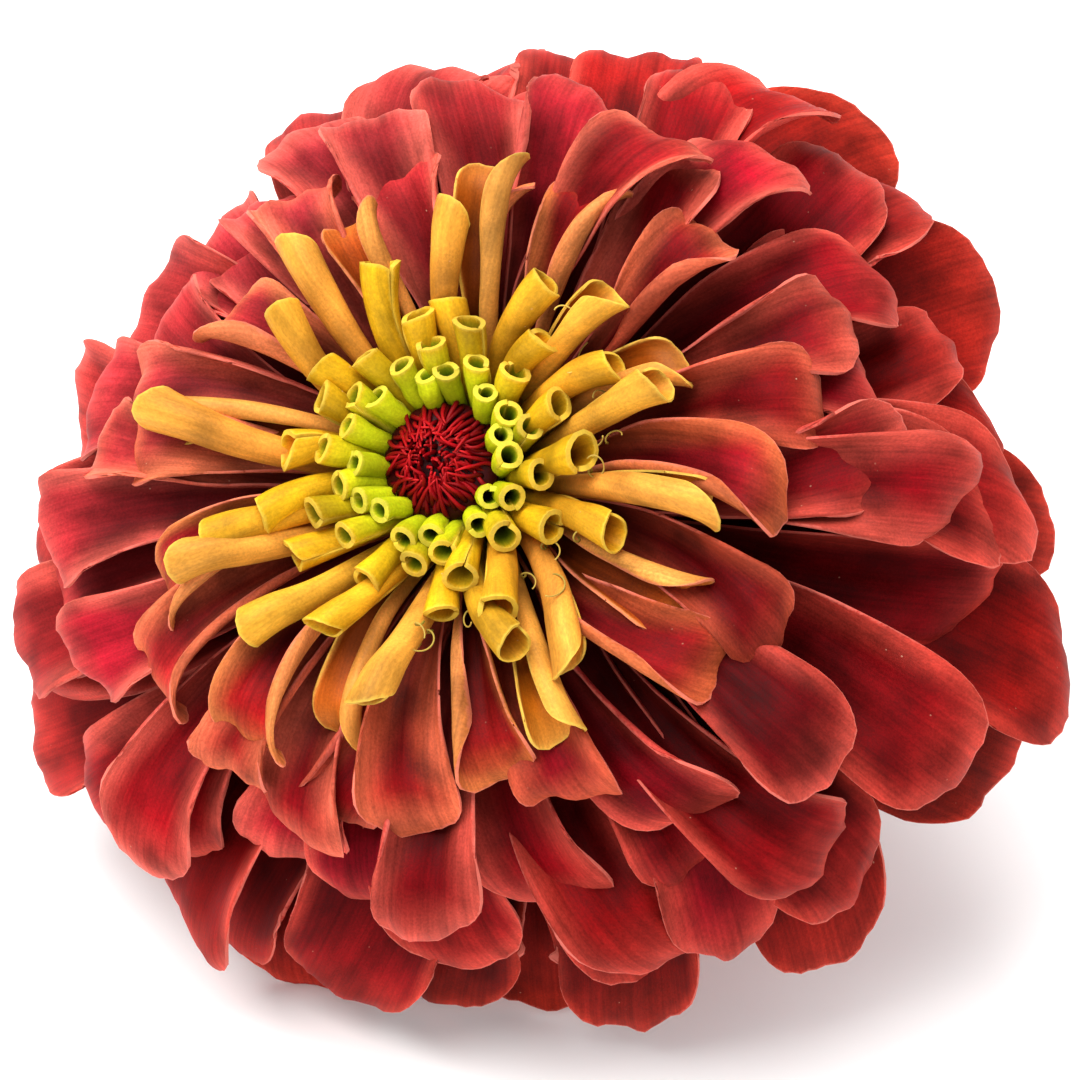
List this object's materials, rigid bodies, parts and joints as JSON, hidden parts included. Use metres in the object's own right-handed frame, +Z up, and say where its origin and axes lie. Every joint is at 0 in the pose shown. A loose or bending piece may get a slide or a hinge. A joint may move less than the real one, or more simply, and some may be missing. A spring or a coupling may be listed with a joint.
{
  "type": "zinnia flower",
  "caption": "Fully double zinnia head of overlapping broad petals, with rolled inner florets round a small tufted disc, on a short cut stem.",
  "frame": {"origin": "centre of the flower's footprint box, on the surface it lies on", "axes": "+Z up; +X across the head, its longest side; the face looks up and towards -Y, and the cut end of the stem is towards +Y"},
  "size_m": [0.0982, 0.0778, 0.0775],
  "materials": {
    "petal_outer": "velvety",
    "petal_upper": "velvety",
    "rolled_florets": "velvety",
    "tube_florets_outer": "waxy",
    "tube_florets_middle": "waxy",
    "tube_florets_inner": "waxy",
    "disc": "waxy",
    "bract": "matte",
    "stem": "matte, finely hairy"
  },
  "bodies": {
    "root": {"petal_01": "petal_outer", "petal_02": "petal_outer", "petal_03": "petal_outer", "petal_04": "petal_outer", "petal_05": "petal_outer", "petal_06": "petal_outer", "petal_07": "petal_outer", "petal_08": "petal_outer", "petal_09": "petal_outer", "petal_10": "petal_outer", "petal_11": "petal_outer", "petal_12": "petal_outer", "petal_13": "petal_outer", "petal_14": "petal_outer", "petal_15": "petal_outer", "petal_16": "petal_outer", "petal_17": "petal_outer", "petal_18": "petal_outer", "petal_19": "petal_outer", "petal_20": "petal_outer", "petal_21": "petal_outer", "petal_22": "petal_outer", "petal_23": "petal_outer", "petal_24": "petal_upper", "petal_25": "petal_upper", "petal_26": "petal_upper", "petal_27": "petal_upper", "petal_28": "petal_upper", "petal_29": "petal_upper", "petal_30": "petal_upper", "petal_31": "petal_upper", "petal_32": "petal_upper", "petal_33": "petal_upper", "petal_34": "petal_upper", "petal_35": "petal_upper", "petal_36": "petal_upper", "petal_37": "petal_upper", "petal_38": "petal_upper", "petal_39": "petal_upper", "petal_40": "petal_upper", "petal_41": "petal_upper", "petal_42": "petal_upper", "petal_43": "petal_upper", "petal_44": "petal_upper", "petal_45": "petal_upper", "petal_46": "petal_upper", "rolled_florets": "rolled_florets", "tube_florets_outer": "tube_florets_outer", "tube_florets_middle": "tube_florets_middle", "tube_florets_inner": "tube_florets_inner", "disc_florets": "disc", "bract_1": "bract", "bract_2": "bract", "bract_3": "bract", "bract_4": "bract", "bract_5": "bract", "bract_6": "bract", "bract_7": "bract", "bract_8": "bract", "stem_and_receptacle": "stem"}
  },
  "joints": []
}
